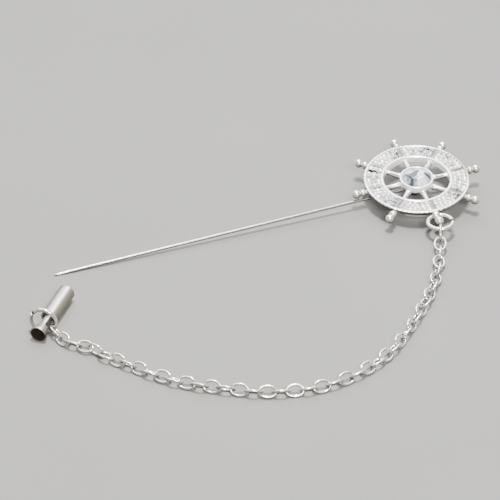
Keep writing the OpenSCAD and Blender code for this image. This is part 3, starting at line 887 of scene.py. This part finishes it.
# Split rings.
ringShape = {
    "wheelRing": 2.75, "wheelWire": 0.5, "capRing": 2.8, "capWire": 0.4, "wireBevel": 0.08,
    "slit": 7, "sawn": 2.5,             # width of the slits and of the shaded ends, in degrees
    "wheelSlit": 75, "capSlit": 232,    # where they are
    "seat": 0.05, "tilt": -6,           # how the wheel's ring hangs in the lug
    "capAlong": 12.28, "capLean": -2.8, "capYaw": 5,    # how the cap's ring stands on the neck
    "wheelHook": 20, "capHook": -37,    # where the chain hangs in them
}
chainAngle = lie["phase"] + 45 * turned["lugSpoke"]


def splitRing(name, r, wire, slitAt):
    bpy.ops.mesh.primitive_circle_add(vertices=20, radius=wire, location=(r, 0, 0),
                                      rotation=(math.radians(90), 0, 0))
    ring = named(name)
    bpy.ops.object.transform_apply(location=True, rotation=True, scale=True)
    editAll(ring)
    bpy.ops.mesh.spin(steps=150, angle=math.radians(360 - ringShape["slit"]),
                      center=(0, 0, 0), axis=(0, 0, 1))
    bpy.ops.mesh.select_all(action="SELECT")
    bpy.ops.mesh.fill_holes(sides=0)
    bpy.ops.mesh.normals_make_consistent(inside=False)
    endEdit()
    bevelled(ring, ringShape["wireBevel"], segments=3, limit=60)
    tidy(ring, smooth=50)
    half = ringShape["slit"] / 2
    fromSlit = [abs((math.degrees(math.atan2(v.co.y, v.co.x)) + half + 180) % 360 - 180)
                for v in ring.data.vertices]
    sawn = ring.data.attributes.new("sawn", "FLOAT", "POINT")  # marks the ends beside the slit, for their painted shade
    sawn.data.foreach_set("value", [1.0 if angle < half + ringShape["sawn"] else 0.0 for angle in fromSlit])
    ring.data.transform(turn(slitAt + half, "Z"))
    return ring


wheelRingMid = (turn(chainAngle, "Z") @ shift(turned["lugAt"], 0, turned["lugLow"])
                @ turn(ringShape["tilt"], "Y") @ shift(ringShape["wheelRing"] - ringShape["seat"], 0, 0))
wheelRing = splitRing("wheelRing", ringShape["wheelRing"], ringShape["wheelWire"], ringShape["wheelSlit"])
finished(settled(wheelRing, onWheel @ wheelRingMid), ringMetal, "ring_plate", "wheel_ring")

capDir = Vector((cosd(lie["capTurn"]), sind(lie["capTurn"]), 0))
capRingTurn = lie["capTurn"] + ringShape["capYaw"]
capRingAt = (Vector((*lie["capMouth"], 0)) + capDir * ringShape["capAlong"]
             + Vector((0, 0, ringShape["capRing"] * cosd(ringShape["capLean"]) + ringShape["capWire"])))
capRing = splitRing("capRing", ringShape["capRing"], ringShape["capWire"], ringShape["capSlit"])
capRing = settled(capRing, laid @ Matrix.Translation(capRingAt) @ turn(capRingTurn, "Z")
                  @ turn(90 + ringShape["capLean"], "Y"))
finished(capRing, ringMetal, "ring_plate", "cap_ring")
print("rings made")


# Chain, along the same route as in the part's source, from the cap's ring to the wheel's.
linkShape = {
    "count": 44, "length": 4.2, "width": 3.0, "wire": 0.55,
    "segments": 32, "sides": 12,        # points round each link and round its wire
    "capGap": 0.28, "wheelGap": 0.2,    # play at both ends
    "slackTo": 14, "slackPitch": 2.74,  # the first links lie pushed together
    "firstWay": (0.333, -0.894, -0.298),    # from the cap's ring to the first link
    "flatRoute": [(-4.4, -23.3), (-0.9, -26.8), (4, -33.3), (9.2, -39.4), (15, -44.9), (21.9, -49.5),
                  (29.7, -53.3), (37, -55.3), (43, -55.6), (50.5, -54.1), (58.5, -50.2), (65.3, -44.6),
                  (71.3, -38.2)],
    "rise": [(75.4, -33.4, 1.15), (79, -28, 1.2), (82.5, -21.1, 1.8)],
    # Roll of the links: up to this link, counted from that one, first roll and roll from link to link.
    "rolls": [(0, 0, -48, 0), (2, 0, -45, 90), (6, 2, 135, 67.5), (36, 6, 45, 90), (42, 36, 225, 82.5),
              (43, 43, 90, 0)],
    "lean": 45,                         # roll of a link that lies on its neighbours
    "sway": 12, "swayTurn": 137,        # irregular roll on top, in degrees
    "swayLinks": (7, 36), "swayOver": -53.6,    # not on the stretch that reaches the box's edge
    "ahead": 1.2,                       # a link points from this far behind it to this far ahead
    "curveSteps": 16,                   # between two points of the route
}
linkR = linkShape["wire"] / 2
endR = (linkShape["width"] - linkShape["wire"]) / 2
straight = (linkShape["length"] - linkShape["width"]) / 2
capReach = endR + straight - linkR - ringShape["capWire"] - linkShape["capGap"]
wheelReach = endR + straight - linkR - ringShape["wheelWire"] - linkShape["wheelGap"]
restZ = endR * sind(linkShape["lean"]) + linkR
capRingFrame = turn(capRingTurn, "Z").to_3x3()
ringSide = capRingFrame @ Vector((0, 1, 0))
ringUp = capRingFrame @ Vector((sind(ringShape["capLean"]), 0, cosd(ringShape["capLean"])))
capHookAt = capRingAt + ringShape["capRing"] * (ringSide * cosd(ringShape["capHook"])
                                                + ringUp * sind(ringShape["capHook"]))
capFirst = capHookAt + Vector(linkShape["firstWay"]).normalized() * capReach
hookLocal = ringShape["wheelRing"] * Vector((cosd(ringShape["wheelHook"]), -sind(ringShape["wheelHook"]), 0))
wheelHookAt = wheelAt @ wheelRingMid @ hookLocal
wheelLast = wheelHookAt + (Vector(linkShape["rise"][-1]) - wheelHookAt).normalized() * wheelReach
route = ([capFirst] + [Vector((*point, restZ)) for point in linkShape["flatRoute"]]
         + [Vector(point) for point in linkShape["rise"]] + [wheelLast])


def routeAt(i):
    return route[max(0, min(len(route) - 1, i))]


def curve(i, u):  # a smooth curve through the route's points
    a, b, c, d = routeAt(i - 1), routeAt(i), routeAt(i + 1), routeAt(i + 2)
    return 0.5 * (2 * b + u * (c - a) + u * u * (2 * a - 5 * b + 4 * c - d)
                  + u * u * u * (3 * b - a - 3 * c + d))


curveSteps = linkShape["curveSteps"]
line = [curve(i, j / curveSteps) for i in range(len(route) - 1) for j in range(curveSteps)] + [wheelLast]
run = [0.0]
for i in range(len(line) - 1):
    run.append(run[-1] + (line[i + 1] - line[i]).length)
slackRun = linkShape["slackTo"] * linkShape["slackPitch"]
pitch = (run[-1] - slackRun) / (linkShape["count"] - 1 - linkShape["slackTo"])


def placeOf(k):
    if k <= linkShape["slackTo"]:
        return k * linkShape["slackPitch"]
    return slackRun + (k - linkShape["slackTo"]) * pitch


def lineAt(s):
    s = max(0, min(run[-1], s))
    for i in range(len(run) - 1):
        if s <= run[i + 1]:
            return line[i].lerp(line[i + 1], (s - run[i]) / (run[i + 1] - run[i]))
    return line[-1].copy()


def rollOf(k):
    roll = next(roll + each * (k - start) for upTo, start, roll, each in linkShape["rolls"] if k <= upTo)
    first, last = linkShape["swayLinks"]
    if first <= k <= last and lineAt(placeOf(k)).y > linkShape["swayOver"]:
        roll += linkShape["sway"] * sind(linkShape["swayTurn"] * k)
    return roll


def linkMatrix(k):
    place = lineAt(placeOf(k))
    along = (lineAt(placeOf(k) + linkShape["ahead"]) - lineAt(placeOf(k) - linkShape["ahead"])).normalized()
    left = Vector((0, 0, 1)).cross(along).normalized()
    up = along.cross(left)
    roll = rollOf(k)
    face = up * cosd(roll) - left * sind(roll)
    across = face.cross(along)
    # A link rests on the table or lies higher.
    climb = abs(along.z)
    stand = max(sind(linkShape["lean"]), abs(sind(roll)))
    low = linkR + straight * climb + endR * math.sqrt(climb * climb + stand * stand * (1 - climb * climb))
    place.z = max(place.z, low)
    return Matrix.Translation(place) @ Matrix((along, across, face)).transposed().to_4x4()


bpy.ops.mesh.primitive_torus_add(major_segments=linkShape["segments"], minor_segments=linkShape["sides"],
                                 major_radius=endR, minor_radius=linkR)
link = named("link")
linkStep = 360 / linkShape["segments"]


def inRound(point, side, i):  # points of the i-th round across the wire, on one side of the link
    angle = math.degrees(math.atan2(abs(point.y), abs(point.x)))
    return point.x * side > 0.01 and abs(angle - linkStep * i) < 2


for i in range(linkShape["segments"] // 4):  # each round moves out, to an oval of even wire
    for side in (1, -1):
        pickVerts(link, lambda point: inRound(point, side, i))
        bpy.ops.transform.translate(value=(straight * side * cosd(linkStep * i), 0, 0))
        endEdit()
tidy(link, smooth=60)
links = [copyAt(link, linkMatrix(k), "link") for k in range(linkShape["count"])]
dropped(link)
chain = settled(joined(links, "chainLinks"), laid)
finished(chain, chainMetal, "chain_plate", "chain")
print("chain made", round(pitch, 3))


# Cap with the needle's hole, a thin neck and a flared knob. Heights are along it from its mouth.
capShape = {
    "r": 1.875, "bore": 0.45, "deep": 7, "mouthBevel": 0.25, "mouthRound": 0.25, "barrel": 9.6,
    "barrelRings": (1.0, 4.8), "barrelRound": 0.14, "barrelRoundFrom": 0.16,
    "step": [(1.42, 0), (1.36, -0.08), (1.36, -0.6)],       # from the barrel's end down to the neck
    "neck": 0.925, "neckEnds": (9.0, 12.8), "knobAt": 12.9,
    "knob": [(1.0, 0), (1.18, 0), (1.3, 0.1), (1.42, 0.55), (1.56, 1.1), (1.72, 1.8)],
    "knobIn": 0.08, "knobLip": 0.12, "knobSide": 0.45, "end": 15.4,
    "hollow": [(1.56, 0), (1.5, -0.08), (1.1, -0.75), (0.3, -1.3), (0, -1.35)],     # in the knob's face
}
capR, knobR = capShape["r"], capShape["r"] - capShape["knobIn"]
capOutline = (
    [(0, capShape["deep"]), (capShape["bore"], capShape["deep"]), (capShape["bore"], capShape["mouthBevel"]),
     (capShape["bore"] + capShape["mouthBevel"], 0.0)]
    + arc(capR - capShape["mouthRound"], capShape["mouthRound"], capShape["mouthRound"], -90, 0, 5)
    + [(capR, height) for height in capShape["barrelRings"]]
    + [(capR, capShape["barrel"] - capShape["barrelRoundFrom"])]
    + arc(capR - capShape["barrelRound"], capShape["barrel"] - capShape["barrelRound"],
          capShape["barrelRound"], 0, 90, 4)
    + raised(capShape["step"], capShape["barrel"])
    + [(capShape["neck"], height) for height in capShape["neckEnds"]]
    + raised(capShape["knob"], capShape["knobAt"]) + [(knobR, capShape["end"] - capShape["knobSide"])]
    + arc(knobR - capShape["knobLip"], capShape["end"] - capShape["knobLip"], capShape["knobLip"], 0, 90, 4)
    + raised(capShape["hollow"], capShape["end"])
)
finished(settled(lathe("needleCap", capOutline, steps=72), onCap), capMetal, "cap_plate", "cap")
print("cap made")


# Floor and lights: a large softbox behind the brooch, which its upper faces mirror to the camera.
# Each light has its degrees aside of the view ahead and above the floor, its distance and size in
# metres, its power in watts and its colour.
studio = {
    "backSoftbox": ((-6, 50, 0.75), (0.85, 0.6), 11.0, (1.0, 0.995, 0.98)),
    "keyLight": ((20, 84, 0.65), (0.12, 0.12), 9.5, (1.0, 0.99, 0.97)),
    "frontSoftbox": ((165, 45, 0.65), (0.3, 0.2), 5.4, (1.0, 0.985, 0.95)),
}
worldLight = {"Color": (0.98, 0.99, 1.0, 1), "Strength": 0.25}
bpy.ops.mesh.primitive_plane_add(size=3.0, location=(0, 0, 0))
floor = named("paleFloor")
floor.data.materials.append(paleFloor())


def softLight(name, place, size, power, colour):
    data = bpy.data.lights.new(name, "AREA")
    data.shape = "RECTANGLE"
    data.size = size[0]
    data.size_y = size[1]
    data.energy = power
    data.color = colour
    lamp = bpy.data.objects.new(name, data)
    bpy.context.collection.objects.link(lamp)
    lamp.location = place
    lamp.rotation_euler = (-Vector(place)).to_track_quat("-Z", "Y").to_euler()


def around(side, height, distance):
    level = ahead * cosd(side) + beside * sind(side)
    return (level * cosd(height) + Vector((0, 0, sind(height)))) * distance


for name, (place, size, power, colour) in studio.items():
    softLight(name, around(*place), size, power, colour)
world = bpy.data.worlds.new("studio")
world.use_nodes = True
for key, value in worldLight.items():
    world.node_tree.nodes["Background"].inputs[key].default_value = value
bpy.context.scene.world = world
print("lights made")
